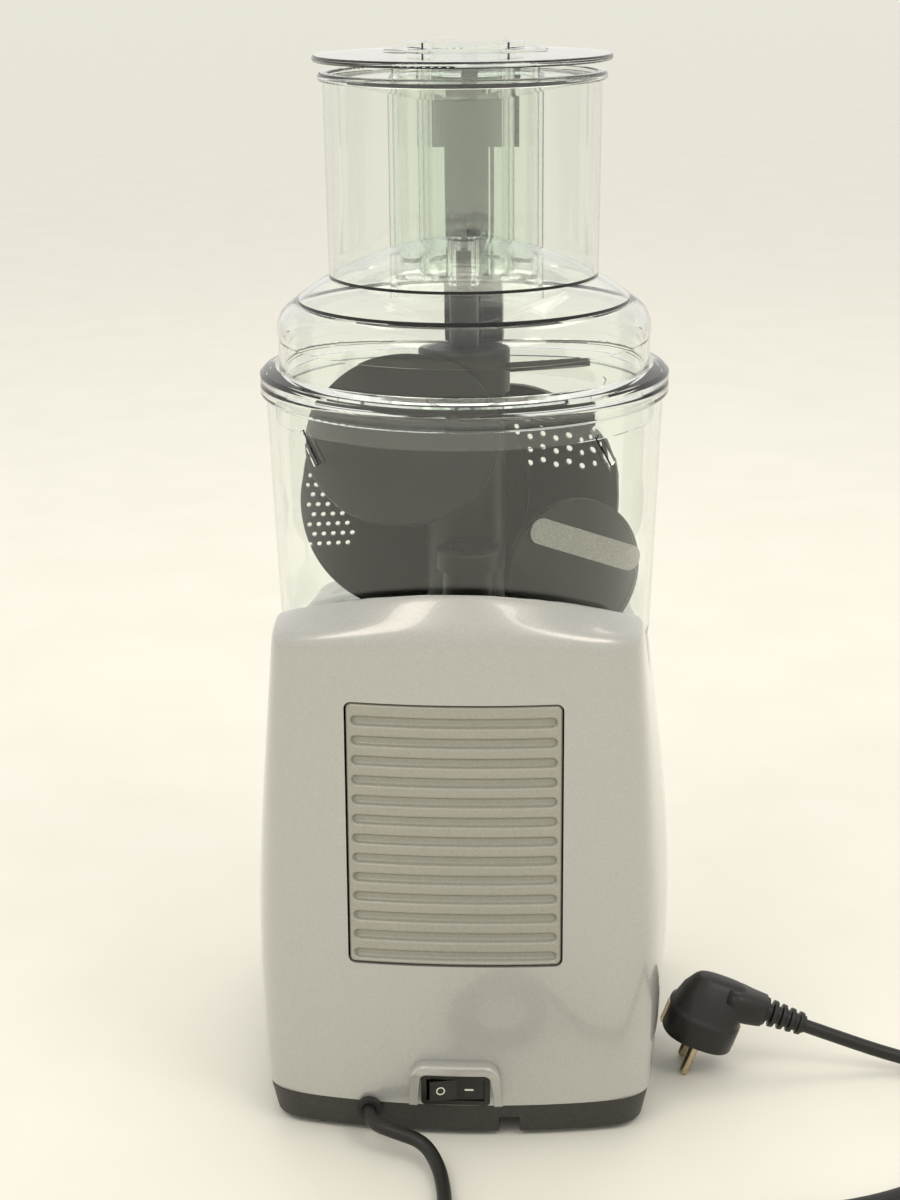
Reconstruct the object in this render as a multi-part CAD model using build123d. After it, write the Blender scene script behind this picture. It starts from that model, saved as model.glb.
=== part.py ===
from build123d import *
import math
import os

# Food processor with a vertical direct-drive motor, a clear bowl and a wide feed tower.
# Millimetres. +Z up, the table at z = 0, the front faces -Y and the mains side faces +Y.
# Shapes are drawn about the bowl's axis, then moved along Y so that the box of the
# machine, without its mains lead, is centred on the origin.

# Casing
body_width = 211.0          # widest, at body_bulge_z
body_width_low = 196.0
body_width_high = 187.0
body_bulge_z = 100.0
casing_rear = 116.0         # bowl axis to the rear face at the bottom
casing_rear_high = 112.0
casing_front = 120.0
casing_front_high = 115.0
rear_bow = 12.0
front_bow = 14.0
side_bow = 5.0
corner_radius = 18.0
casing_wall = 3.0
seam_z = 18.0               # base pan meets the casing
platform_z = 222.0          # the bowl stands here
crest_z = 277.0             # top of the hump behind the bowl
crest_slope = 0.64          # rise of the hump's crest for each mm towards the rear
ridge_drop = 20.0
arch_radius = 118.0
arch_centre_z = 158.5

# Base pan and feet
pan_z = 3.0
pan_width = 190.0
pan_wall = 2.5
foot_radius = 10.0
foot_inset_x = 68.0
foot_inset_y = 84.0
foot_stub_radius = 3.0
notch_x = -26.0
notch_width = 10.0
notch_height = 8.0

# Vent grille
vent_width = 102.0
vent_low_z = 92.0
vent_height = 131.0
vent_gap = 0.5
vent_lip = 5.0
vent_lip_depth = 2.0
slot_count = 13
slot_length = 96.0
slot_height = 4.0
slot_pitch = 9.8

# Rocker switch
bezel_width = 33.6
bezel_height = 16.0
bezel_proud = 1.5
bezel_z = 27.0
switch_body_width = 29.6
switch_body_height = 13.4
switch_depth = 20.0
rocker_half_length = 13.2
rocker_height = 10.6
rocker_tilt = 7.0
rocker_pivot_depth = 3.0
rocker_pin_radius = 1.2
rocker_gap = 0.4
hood_gap = 2.2              # bezel to the hood's legs
hood_low_z = 18.0
hood_high_z = 42.0
hood_proud = 8.0
hood_wall = 4.0

# Bowl
bowl_foot_radius = 93.0
bowl_wall_radius = 97.75    # outside, just under the rim
rim_radius = 100.5
rim_height = 7.0
bowl_height = 134.0
bowl_wall = 2.8
bowl_floor = 3.2
bowl_corner = 9.0
tube_radius = 17.0
tube_bore = 14.0
tube_height = 78.0
seat_gap = 0.3
bowl_clearance = 5.5        # hump to the bowl's foot radius

# Handle and interlock
handle_reach = 158.0
handle_width = 26.0
handle_rise = 15.7          # bowl's foot to the handle's lower end
handle_drop = 0.3           # rim to the handle's top
spine_depth = 15.0
grip_depth = 13.0
bridge_height = 14.0
grip_cover = 3.0
rod_y = -106.0
rod_radius = 2.5
rod_travel = 5.0
running_gap = 0.1
spring_bore_gap = 1.7       # rod to the wall of the spring's pocket
spring_rise = 24.0          # handle's lower end to the spring's seat
collar_drop = 26.0          # handle's top to the collar
collar_height = 3.0
plunger_radius = 1.2
switch_box_height = 12.0
switch_box_drop = 13.0      # platform to the switch's top
spring_gap = 0.3            # rod to the spring's wire
spring_wire = 0.4
spring_turns = 9

# Lid and feed tower, with heights above the lid's seat on the rim
lid_wall = 2.5
flange_height = 5.4
shoulder_radius = 91.0
shoulder_height = 20.4
ring_radius = 81.0
ring_height = 39.9
ring_step = 1.5
dome_height = 67.4
skirt_radius = 93.6
skirt_wall = 2.2
skirt_depth = 16.6
moulding_gap = 0.1          # between pieces welded together
tower_radius = 66.5
tower_low_radius = 65.5
tower_wall = 2.2
tower_height = 146.4
tower_rim_radius = 69.0
tower_rim_height = 4.0
funnel_drop = 10.0
funnel_flat_radius = 25.0
chute_width = 73.0          # inside
chute_depth = 40.0
chute_y = -33.0
chute_corner = 14.0
chute_wall = 2.0
chute_low_height = 35.4
boss_radius = 7.5
boss_length = 22.0
boss_bore = 4.0
arm_width = 31.0
arm_top_width = 55.0
arm_wing_depth = 3.0
arm_wall = 3.0
arm_front_wall = 2.2
arm_hollow = 21.4           # lid's seat to the roof of the hollow over the handle
arm_wing_drop = 41.0        # tower's top to the wings' lower edge
slider_gap = 4.2            # tower wall to the middle of the slider
slider_width = 8.0

# Pushers
push_flange_radius = 71.5
push_flange_thickness = 3.0
push_lift = 5.0             # flange above the tower's rim
push_gap = 0.4
push_wall = 2.0
push_low_height = 45.4      # lid's seat to the pushers' lower end
collar_width = 80.0
collar_depth = 30.0
cap_height = 3.0
inner_width = 43.0
inner_depth = 31.0
inner_corner = 12.0
fin_x = 58.0

# Motor
stator_size = 92.0
stator_low_z = 58.0
stator_height = 40.0
rotor_radius = 27.0
air_gap = 0.4
shaft_radius = 6.0
spindle_radius = 8.0
spindle_low_z = 200.0
spindle_high_z = 296.0
bracket_low_z = 40.0
bracket_plate = 3.0
bearing_radius = 14.0
bearing_width = 8.0
motor_screw_offset = 38.0
motor_screw_radius = 2.0
fan_radius = 42.0
fan_low_z = 132.0
fan_height = 14.0
fan_blades = 9

# Controls
button_radius = 10.0
button_x = 34.0
button_z = 78.0
button_travel = 2.0
button_gap = 0.4
button_length = 11.0
button_stem_radius = 2.5
key_height = 2.7            # tact switches on the board
fascia_half_width = 62.0
fascia_low_z = 44.0
fascia_high_z = 118.0
fascia_proud = 2.0
board_y = -98.0
board_thickness = 1.6

# Mains lead
cord_radius = 3.5
gland_x = 42.5
gland_z = 15.0
gland_radius = 6.3
gland_neck_radius = 4.8
coil_centre = (-30.0, 266.0)
coil_radius = 37.5
coil_band = 14.0
coil_height = 14.0
plug_axis_x = -120.0       # middle of the plug's pin face
plug_axis_y = 55.0
plug_tilt = 20.0
plug_radius = 19.0
pin_radius = 2.4
pin_length = 19.0
pin_spacing = 19.0
relief_length = 22.0
neck_radius = 8.0
neck_height = 25.0
neck_reach = 28.0

# The lead's route in the finished frame, from the gland to the coil.
lead_points = [(42.5, 132.0, 15.0), (42.0, 144.5, 14.6), (28.0, 152.0, 13.6), (14.0, 155.0, 10.5),
               (6.0, 167.5, 4.8), (2.0, 189.5, 3.6), (0.0, 216.0, 3.8), (6.0, 242.0, 5.5), (7.5, 266.0, 7.0)]
# From the coil round to the plug's strain relief.
tail_points = [(-62.5, 284.8, 7.0), (-78.5, 257.0, 4.8), (-101.0, 224.0, 3.6), (-137.0, 199.5, 3.6),
               (-184.0, 193.5, 3.6), (-228.0, 169.5, 3.6), (-257.0, 126.0, 3.6), (-266.0, 86.0, 3.6),
               (-250.0, 60.5, 3.8), (-222.0, 55.5, 8.2), (-195.5, 55.0, 17.0), (-175.55, 55.0, 24.27)]

# Tools kept in the bowl
stem_gap = 0.6              # tube to the sleeve over it
stem_wall = 2.4
stem_foot = 4.0             # floor to the sleeve's lower edge
stem_room = 9.2             # tube's end to the sleeve's inner end
hub_radius = 22.5
hub_height = 23.0
hub_drop = 6.8              # rim to the hub's lower edge
neck_below_boss = 2.5
stem_neck_radius = 7.0
stem_pin_drop = 6.5         # dome's crest to the end of the stem's pin
stem_pin_gap = 0.3
disc_rim = 2.0              # width of a disc's rim, and its extra thickness
cover_radius = 46.0
sieve_radius = 61.0
grating_radius = 58.0
slicing_radius = 37.0
slicing_thickness = 3.0
blade_thickness = 1.2
blade_length = 66.0
blade_height = 13.0
blade_offset = 15.0         # slicing disc's middle to the blade's

axis_y = (handle_reach - casing_rear - hood_proud) / 2
bowl_z = platform_z + seat_gap
rim_top_z = bowl_z + bowl_height
rim_low_z = rim_top_z - rim_height
floor_z = bowl_z + bowl_floor
lid_z = rim_top_z + seat_gap
handle_low_z = bowl_z + handle_rise
handle_high_z = rim_top_z - handle_drop
hood_width = bezel_width + 2 * (hood_gap + hood_wall)
spring_bore = rod_radius + spring_bore_gap
spring_radius = rod_radius + spring_gap + spring_wire
spring_low_z = handle_low_z + spring_rise
collar_z = handle_high_z - collar_drop
rod_low_z = platform_z + 2 * seat_gap
flange_z = lid_z + flange_height
shoulder_z = lid_z + shoulder_height
ring_z = lid_z + ring_height
dome_crest_z = lid_z + dome_height
skirt_low_z = lid_z - skirt_depth
tower_top_z = lid_z + tower_height
chute_low_z = lid_z + chute_low_height
push_low_z = lid_z + push_low_height
slider_line = tower_radius + slider_gap
hub_low_z = rim_top_z - hub_drop
stem_radius = tube_radius + stem_gap + stem_wall
stem_inner_z = bowl_z + tube_height + stem_room
tube_foot_radius = tube_radius + 13.0
flange_low_z = tower_top_z + push_lift
flange_top_z = flange_low_z + push_flange_thickness
stator_high_z = stator_low_z + stator_height
bracket_high_z = stator_high_z + 15.0


def about(x, y, z_low, radius, height):
    return Pos(x, y, z_low) * Cylinder(radius, height, align=(Align.CENTER, Align.CENTER, Align.MIN))


def block(x_low, x_high, y_low, y_high, z_low, z_high):
    size = (x_high - x_low, y_high - y_low, z_high - z_low)
    centre = ((x_high + x_low) / 2, (y_high + y_low) / 2, (z_high + z_low) / 2)
    return Pos(*centre) * Box(*size)


def turned(points):
    """Solid of revolution about Z from (radius, z) points."""
    outline = Polyline(*[(r, 0, z) for r, z in points], close=True)
    return revolve(Face(Wire(outline.edges())), Axis.Z)


def side_prism(points, half_width):
    """Prism along X from (y, z) points, centred on X = 0."""
    outline = Polyline(*[(0, y, z) for y, z in points], close=True)
    return extrude(Face(Wire(outline.edges())), half_width, dir=(1, 0, 0), both=True)


def rounded_prism(width, depth, corner, x, y, z_low, z_high):
    outline = RectangleRounded(width, depth, corner)
    return extrude(Pos(x, y, z_low) * outline, z_high - z_low)


def casing_section(width, rear, front, z, inset):
    """Plan of the casing at one height: four bowed sides and rounded corners."""
    half = width / 2 - inset
    side = half - side_bow
    back = rear - inset
    nose = -(front - inset)
    middle = (back + nose) / 2
    rear_left = (side, back - rear_bow)
    rear_right = (-side, back - rear_bow)
    front_left = (side, nose + front_bow)
    front_right = (-side, nose + front_bow)
    sides = [
        ThreePointArc(rear_left, (0, back), rear_right),
        ThreePointArc(rear_right, (-half, middle), front_right),
        ThreePointArc(front_right, (0, nose), front_left),
        ThreePointArc(front_left, (half, middle), rear_left),
    ]
    outline = make_face([edge for side_line in sides for edge in side_line.edges()])
    return Pos(0, 0, z) * fillet(outline.vertices(), corner_radius - inset)


def casing_loft(inset):
    top_z = crest_z + 3.0
    lean = (casing_rear - casing_rear_high) / (platform_z - seam_z)
    rear_top = casing_rear_high - lean * (top_z - platform_z)
    sections = [
        casing_section(body_width_low, casing_rear, casing_front - 2.0, seam_z, inset),
        casing_section(body_width, casing_rear - 1.5, casing_front, body_bulge_z, inset),
        casing_section(body_width_high, casing_rear_high, casing_front_high, platform_z, inset),
        casing_section(body_width_high - 12.0, rear_top, casing_front_high - 4.0, top_z, inset),
    ]
    return loft(sections)


def top_limit(inset):
    """Everything under the hump's slope, its rear edge and its arch."""
    level = platform_z - inset
    crest_y = casing_rear_high - 15.0
    slope_start = crest_y - (crest_z - platform_z) / crest_slope
    profile = [(-casing_front - 20, 0), (casing_rear + 20, 0),
               (casing_rear + 20, crest_z - ridge_drop - 14 - inset),
               (casing_rear_high, crest_z - ridge_drop - inset),
               (crest_y + 3, crest_z - inset), (crest_y, crest_z - inset),
               (slope_start, level), (-casing_front - 20, level)]
    slope = side_prism(profile, body_width)
    arch = Pos(0, 0, arch_centre_z) * Rot(90, 0, 0) * Cylinder(arch_radius - inset, 4 * casing_rear)
    below = block(-body_width, body_width, -200, 200, 0, arch_centre_z)
    return slope & (arch + below)


def casing_envelope(inset):
    hump_radius = bowl_foot_radius + bowl_clearance
    well = about(0, 0, platform_z - inset, hump_radius + inset, 100)
    return (casing_loft(inset) & top_limit(inset)) - well


def gland_cut():
    return Pos(gland_x, casing_rear, gland_z) * Rot(90, 0, 0) * Cylinder(gland_neck_radius, 40)


def switch_cut():
    return block(-switch_body_width / 2, switch_body_width / 2, casing_rear - 12, casing_rear + 4,
                 bezel_z - switch_body_height / 2, bezel_z + switch_body_height / 2)


def switch_hood():
    """Arched visor round the switch, deepest at its top."""
    height = hood_high_z - hood_low_z
    middle_z = (hood_high_z + hood_low_z) / 2
    outline = extrude(RectangleRounded(hood_width, height, 6), hood_width, both=True)
    outer = Pos(0, casing_rear, middle_z) * Rot(90, 0, 0) * outline
    inner_height = bezel_height + 3.0
    inner = block(-(hood_width / 2 - hood_wall), hood_width / 2 - hood_wall, casing_rear - 60,
                  casing_rear + 60, hood_low_z - 5, bezel_z + inner_height / 2)
    reach = casing_rear + hood_proud
    wedge = side_prism([(casing_rear - 6, hood_low_z), (casing_rear + 0.5, hood_low_z),
                        (reach, hood_high_z - 6), (reach, hood_high_z), (casing_rear - 6, hood_high_z)],
                       hood_width)
    return (outer & wedge) - inner


def button_places():
    return [(-button_x, "pulse_button"), (0.0, "on_button"), (button_x, "stop_button")]


def button_holes(gap):
    holes = None
    for x, _ in button_places():
        hole = Pos(x, -casing_front, button_z) * Rot(90, 0, 0) * Cylinder(button_radius + gap, 50)
        holes = hole if holes is None else holes + hole
    return holes


def lens_cut(radius):
    return Pos(0, -casing_front, fascia_high_z - 14) * Rot(90, 0, 0) * Cylinder(radius, 16)


def vent_window(margin):
    half = vent_width / 2 - margin
    return block(-half, half, 60, 140, vent_low_z + margin, vent_low_z + vent_height - margin)


def board_posts():
    posts = None
    for x in (-40.0, 40.0):
        for z in (fascia_low_z + 6, fascia_high_z - 6):
            post = Pos(x, board_y - 10.5, z) * Rot(90, 0, 0) * Cylinder(3.0, 21.0)
            posts = post if posts is None else posts + post
    return posts


def casing():
    shell = casing_envelope(0) - casing_envelope(casing_wall)
    shell += switch_hood() - casing_envelope(casing_wall)
    shell -= vent_window(0)
    shell -= switch_cut()
    shell -= gland_cut()
    shell -= button_holes(button_gap)
    shell -= lens_cut(2.5)
    shell -= about(0, 0, platform_z - 10, bearing_radius + 2, 20)
    shell -= about(0, rod_y, platform_z - 10, plunger_radius + button_gap, 20)
    for side in (-1, 1):
        near = side * 10.0
        far = side * 14.0
        shell += block(min(near, far), max(near, far), rod_y - 3, rod_y + 3,
                       platform_z - switch_box_drop - switch_box_height - 1, platform_z - casing_wall)
    shell += board_posts() & casing_envelope(casing_wall / 2)
    return shell


def vent_panel():
    panel = (casing_loft(0) & vent_window(vent_gap)) - casing_loft(casing_wall)
    lip = casing_loft(casing_wall) & vent_window(-vent_lip)
    lip &= block(-100, 100, 60, 140, vent_low_z - vent_lip, vent_low_z + vent_height - vent_gap)
    panel += lip - casing_loft(casing_wall + vent_lip_depth)
    middle_z = vent_low_z + vent_height / 2 - 2.0
    for row in range(slot_count):
        z = middle_z + (row - (slot_count - 1) / 2) * slot_pitch
        slot = SlotOverall(slot_length, slot_height)
        panel -= Pos(0, casing_rear, z) * Rot(90, 0, 0) * extrude(slot, 30, both=True)
    return panel


def front_fascia():
    window = block(-fascia_half_width, fascia_half_width, -200, -60, fascia_low_z, fascia_high_z)
    plate = (casing_loft(-fascia_proud) & window) - casing_loft(0)
    return plate - button_holes(button_gap) - lens_cut(2.5)


def indicator_lens():
    stem = lens_cut(2.5) & casing_loft(-fascia_proud - 0.6)
    return stem - casing_loft(casing_wall)


def button(x):
    outer_y = -(casing_front + fascia_proud + 2.5)
    cap = Pos(x, outer_y + button_length / 2, button_z) * Rot(90, 0, 0)
    cap = cap * Cylinder(button_radius, button_length)
    cap = fillet(cap.edges().filter_by(GeomType.CIRCLE).sort_by(Axis.Y)[0], 1.5)
    stem_end = board_y - key_height - seat_gap - button_travel
    length = stem_end - outer_y - button_length
    stem = Pos(x, stem_end - length / 2, button_z) * Rot(90, 0, 0) * Cylinder(button_stem_radius, length)
    return cap + stem


def control_board():
    half = 46.0
    board = block(-half, half, board_y, board_y + board_thickness, fascia_low_z, fascia_high_z)
    for x, _ in button_places():
        board += block(x - 3, x + 3, board_y - key_height, board_y, button_z - 3, button_z + 3)
    for x in (-24.0, 0.0, 24.0):
        board += about(x, board_y + 10, fascia_low_z + 8, 5, 14)
        board += block(x - 4, x + 4, board_y + board_thickness, board_y + 10,
                       fascia_low_z + 10, fascia_low_z + 18)
    return board


def base_pan():
    low = casing_section(pan_width, casing_rear - 2, casing_front - 5, pan_z, 0)
    high = casing_section(body_width_low, casing_rear, casing_front - 2, seam_z, 0)
    pan = loft([low, high])
    low_in = casing_section(pan_width, casing_rear - 2, casing_front - 5, pan_z + pan_wall, pan_wall)
    high_in = casing_section(body_width_low, casing_rear, casing_front - 2, seam_z, pan_wall)
    pan -= loft([low_in, high_in])
    for x in (-motor_screw_offset, motor_screw_offset):
        for y in (-motor_screw_offset, motor_screw_offset):
            pan += about(x, y, pan_z + 1, 6.0, bracket_low_z - pan_z - 1)
            pan -= about(x, y, 20, motor_screw_radius, 60)
    for x in (-foot_inset_x, foot_inset_x):
        for y in (-foot_inset_y, foot_inset_y):
            pan -= about(x, y, 0, foot_stub_radius, 20)
    pan -= gland_cut()
    pan -= block(notch_x - notch_width / 2, notch_x + notch_width / 2, 90, 130, 0, pan_z + notch_height)
    return pan


def feet():
    group = []
    for x in (-foot_inset_x, foot_inset_x):
        for y in (-foot_inset_y, foot_inset_y):
            pad = about(x, y, 0, foot_radius, pan_z)
            pad = chamfer(pad.edges().filter_by(GeomType.CIRCLE).sort_by(Axis.Z)[0], 0.8)
            group.append(pad + about(x, y, 0, foot_stub_radius, pan_z + pan_wall + 1.0))
    return Compound(group)


def switch_bezel():
    """Black switch body with its flange outside the rear face."""
    face_y = casing_rear
    body = block(-switch_body_width / 2, switch_body_width / 2, face_y - switch_depth, face_y,
                 bezel_z - switch_body_height / 2, bezel_z + switch_body_height / 2)
    flange = extrude(Pos(0, face_y, bezel_z) * Rot(90, 0, 0) * RectangleRounded(bezel_width, bezel_height, 2),
                     bezel_proud, dir=(0, 1, 0))
    half_x = rocker_half_length + 0.9
    half_z = rocker_height / 2 + rocker_gap
    cavity = block(-half_x, half_x, face_y - 9.0, face_y + 5, bezel_z - half_z, bezel_z + half_z)
    pin_hole = about(0, face_y - rocker_pivot_depth, bezel_z - switch_body_height / 2, rocker_pin_radius,
                     switch_body_height)
    for side in (-1, 1):
        x = side * 8.0
        body += block(x - 3, x + 3, face_y - switch_depth - 8, face_y - switch_depth,
                      bezel_z - 0.4, bezel_z + 0.4)
    return body + flange - cavity - pin_hole


def rocker():
    face_y = casing_rear
    reach = rocker_half_length
    corner = reach - 0.7
    points = [(-reach, 2.2), (0, 0.9), (reach, 2.2), (corner, -4.6), (-corner, -4.6)]
    outline = Polyline(*[(x, y) for x, y in points], close=True)
    pad = extrude(Pos(0, 0, bezel_z - rocker_height / 2) * make_face(outline.edges()), rocker_height)
    pad -= about(0, -rocker_pivot_depth, bezel_z - 10, rocker_pin_radius + 0.05, 20)
    tip = Pos(0, -rocker_pivot_depth, 0) * Rot(0, 0, rocker_tilt) * Pos(0, rocker_pivot_depth, 0)
    return Pos(0, face_y, 0) * tip * pad


def rocker_pin():
    return about(0, casing_rear - rocker_pivot_depth, bezel_z - switch_body_height / 2, rocker_pin_radius,
                 switch_body_height)


def cord_gland():
    """Grommet held between the pan and the casing, with a flange outside and one inside."""
    rear = casing_rear - 1.8
    outer = Pos(gland_x, rear + 1.5, gland_z) * Rot(90, 0, 0) * Cylinder(gland_radius, 3.0)
    outer = fillet(outer.edges().filter_by(GeomType.CIRCLE), 1.0)
    neck = Pos(gland_x, rear - 4.0, gland_z) * Rot(90, 0, 0) * Cylinder(gland_neck_radius, 10.0)
    inner = Pos(gland_x, rear - 10.0, gland_z) * Rot(90, 0, 0) * Cylinder(gland_radius, 2.0)
    ring = (outer + neck + inner) - (casing_envelope(0) - gland_cut() - casing_envelope(casing_wall))
    bore = Pos(gland_x, rear, gland_z) * Rot(90, 0, 0) * Cylinder(cord_radius, 40)
    return ring, bore


def bowl():
    straight = bowl_height - rim_height
    outer = Pos(0, 0, bowl_z + straight / 2) * Cone(bowl_foot_radius, bowl_wall_radius, straight)
    outer = fillet(outer.edges().filter_by(GeomType.CIRCLE).sort_by(Axis.Z)[0], bowl_corner)
    rim = about(0, 0, rim_low_z, rim_radius, rim_height)
    rim = fillet(rim.edges().filter_by(GeomType.CIRCLE), 2.0)
    taper = (bowl_wall_radius - bowl_foot_radius) / straight
    inner_height = bowl_height - bowl_floor
    inner_low = bowl_foot_radius - bowl_wall
    inner = Cone(inner_low, inner_low + taper * inner_height, inner_height)
    inner = Pos(0, 0, floor_z + inner_height / 2) * inner
    inner = fillet(inner.edges().filter_by(GeomType.CIRCLE).sort_by(Axis.Z)[0], bowl_corner - bowl_wall)
    shell = outer + rim - inner
    shell -= about(0, 0, bowl_z - 5, tube_foot_radius + moulding_gap, 20)
    ramp_radius = bowl_wall_radius - 1.0
    for turn in (45, 135, 225, 315):
        ramp = Rot(0, 0, turn) * Pos(ramp_radius, 0, rim_low_z - 14) * Rot(35, 0, 0) * Box(3.4, 2.6, 18)
        shell += ramp - inner
    return shell


def bowl_tube():
    """Tube round the drive spindle, with the flange that closes the bowl's floor."""
    tube = about(0, 0, bowl_z, tube_foot_radius, bowl_floor) + about(0, 0, bowl_z, tube_radius, tube_height)
    return tube - about(0, 0, bowl_z - 5, tube_bore, tube_height + 20)


def bowl_body():
    """Solid the size of the bowl's outside."""
    straight = bowl_height - rim_height
    outer = Pos(0, 0, bowl_z + straight / 2) * Cone(bowl_foot_radius, bowl_wall_radius, straight)
    return outer + about(0, 0, rim_low_z, rim_radius, rim_height)


def rod_channel():
    """Space for the interlock rod, its collar and its spring."""
    channel = about(0, rod_y, handle_low_z - 5, rod_radius + running_gap, handle_high_z - handle_low_z + 10)
    return channel + about(0, rod_y, spring_low_z, spring_bore, handle_high_z - 6 - spring_low_z)


def bowl_handle():
    half = handle_width / 2
    spine_front = -(bowl_wall_radius + spine_depth)
    grip_front = -handle_reach + grip_cover
    handle = block(-half, half, spine_front, -80, handle_low_z, handle_high_z)
    handle += block(-half, half, grip_front, -80, handle_high_z - bridge_height, handle_high_z)
    handle += block(-half, half, grip_front, -80, handle_low_z, handle_low_z + bridge_height)
    handle += block(-half, half, grip_front, grip_front + grip_depth, handle_low_z, handle_high_z)
    handle = fillet(handle.edges().filter_by(Axis.Z).group_by(Axis.Y)[0], 3.0)
    return handle - bowl_body() - rod_channel()


def handle_cover():
    half = handle_width / 2 - 1.0
    strip = block(-half + 2.0, half - 2.0, -handle_reach, -handle_reach + grip_cover,
                  handle_low_z + 3, handle_high_z - 3)
    return fillet(strip.edges().filter_by(Axis.Z).group_by(Axis.Y)[0], 1.2)


def interlock_rod():
    rod = about(0, rod_y, rod_low_z, rod_radius, lid_z + 0.7 - rod_low_z)
    return rod + about(0, rod_y, collar_z, spring_bore - 0.4, collar_height)


def interlock_spring():
    height = collar_z - spring_low_z - spring_wire * 2
    line = Helix(pitch=height / spring_turns, height=height, radius=spring_radius)
    section = Plane(origin=line @ 0, z_dir=line % 0) * Circle(spring_wire)
    return Pos(0, rod_y, spring_low_z + spring_wire) * sweep(section, path=line)


def interlock_switch():
    top = platform_z - switch_box_drop
    body = block(-10, 10, rod_y - 3, rod_y + 3, top - switch_box_height, top)
    return body + about(0, rod_y, top, plunger_radius, rod_low_z - seat_gap - top)


def dome_sphere_radius():
    rise = dome_crest_z - ring_z
    return (ring_radius ** 2 + rise ** 2) / (2 * rise)


def lid_envelope(inset):
    """Solid the size of the lid's dome, shoulder and flange, in by an even inset."""
    crest = dome_crest_z - inset
    ring = ring_radius
    ring_level = ring_z - inset
    shoulder = shoulder_radius - inset
    dome_radius = dome_sphere_radius()
    half_turn = math.asin(ring / 2 / dome_radius)
    middle = (dome_radius * math.sin(half_turn), 0, crest - dome_radius * (1 - math.cos(half_turn)))
    bend = (shoulder - (shoulder - ring) * 0.22, 0, ring_level - (ring_level - shoulder_z) * 0.34)
    lines = [
        ThreePointArc((0, 0, crest), middle, (ring, 0, ring_level)),
        Line((ring, 0, ring_level), (ring + 0.4, 0, ring_level - ring_step)),
        ThreePointArc((ring + 0.4, 0, ring_level - ring_step), bend, (shoulder, 0, shoulder_z)),
        Line((shoulder, 0, shoulder_z), (shoulder, 0, lid_z - 30)),
        Line((shoulder, 0, lid_z - 30), (0, 0, lid_z - 30)),
        Line((0, 0, lid_z - 30), (0, 0, crest)),
    ]
    edges = [edge for line in lines for edge in line.edges()]
    return revolve(Face(Wire(edges)), Axis.Z)


def lid_flange():
    plate = turned([(0, lid_z), (rim_radius, lid_z), (rim_radius, flange_z - 2), (rim_radius - 2, flange_z),
                    (shoulder_radius + 2, flange_z + 2), (0, flange_z + 2)])
    return plate


def chute(extra, z_low, z_high):
    return rounded_prism(chute_width + 2 * extra, chute_depth + 2 * extra, chute_corner + extra,
                         0, chute_y, z_low, z_high)


def tower_cone(inset):
    height = tower_top_z - ring_z
    return Pos(0, 0, ring_z + height / 2) * Cone(tower_low_radius - inset, tower_radius - inset, height)


def feed_tower():
    """Clear tube standing on the dome, with a rolled rim."""
    rim = about(0, 0, tower_top_z - tower_rim_height, tower_rim_radius, tower_rim_height)
    rim = fillet(rim.edges().filter_by(GeomType.CIRCLE), 1.6)
    rim -= about(0, 0, tower_top_z - 20, tower_radius - tower_wall, 40)
    dome_radius = dome_sphere_radius()
    dome = Pos(0, 0, dome_crest_z - dome_radius) * Sphere(dome_radius + moulding_gap)
    return (tower_cone(0) - tower_cone(tower_wall)) + rim - dome


def above_funnel(drop):
    """Everything in the tower above the funnel's upper face, lowered by a drop."""
    outside = tower_radius - tower_wall - 2 * moulding_gap
    low = tower_top_z - funnel_drop - drop
    return turned([(0, low), (funnel_flat_radius, low), (outside, tower_top_z - 2 - drop),
                   (outside, tower_top_z + 1), (0, tower_top_z + 1)])


def feed_funnel():
    """Shallow funnel inside the tower's top, with the hole that the chute hangs from."""
    plate = above_funnel(chute_wall) - above_funnel(0)
    return plate - chute(0, chute_low_z, tower_top_z + 20)


def feed_chute():
    """Rounded shaft from the funnel's underside down through the dome."""
    walls = chute(chute_wall, chute_low_z, tower_top_z) - chute(0, chute_low_z - 5, tower_top_z + 20)
    return walls - above_funnel(chute_wall + moulding_gap)


def lid():
    shell = lid_envelope(0) + lid_flange() - lid_envelope(lid_wall)
    shell -= about(0, 0, lid_z - 60, rim_radius + 5, 60)
    skirt = about(0, 0, skirt_low_z, skirt_radius, lid_z + 2 - skirt_low_z)
    skirt -= about(0, 0, skirt_low_z - 5, skirt_radius - skirt_wall, 60)
    shell += skirt
    shell += about(0, 0, dome_crest_z - boss_length, boss_radius, boss_length - 0.5)
    shell -= about(0, 0, dome_crest_z - boss_length - 5, boss_bore, boss_length + 20)
    return shell - chute(chute_wall + moulding_gap, chute_low_z - 5, tower_top_z)


def slider_profile(grow, lift):
    """Bent strip from the tower's rim down to the handle, as (y, z) points."""
    top = tower_top_z + 4.7
    foot = lid_z + 1.0
    tower_line = -slider_line
    half = 1.2 + grow
    bend_z = dome_crest_z - 5.0
    drop_z = shoulder_z + 8.0
    return [(tower_line + half, top), (tower_line - half, top),
            (tower_line - half, bend_z + lift + grow), (rod_y - half - 0.8, drop_z + lift + grow),
            (rod_y - half - 0.8, foot), (rod_y + half + 0.8, foot),
            (rod_y + half + 0.8, drop_z - 4 - grow), (tower_line + half, bend_z - 4 - grow)]


def lid_slider():
    return side_prism(slider_profile(0, 0), slider_width / 2)


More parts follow.
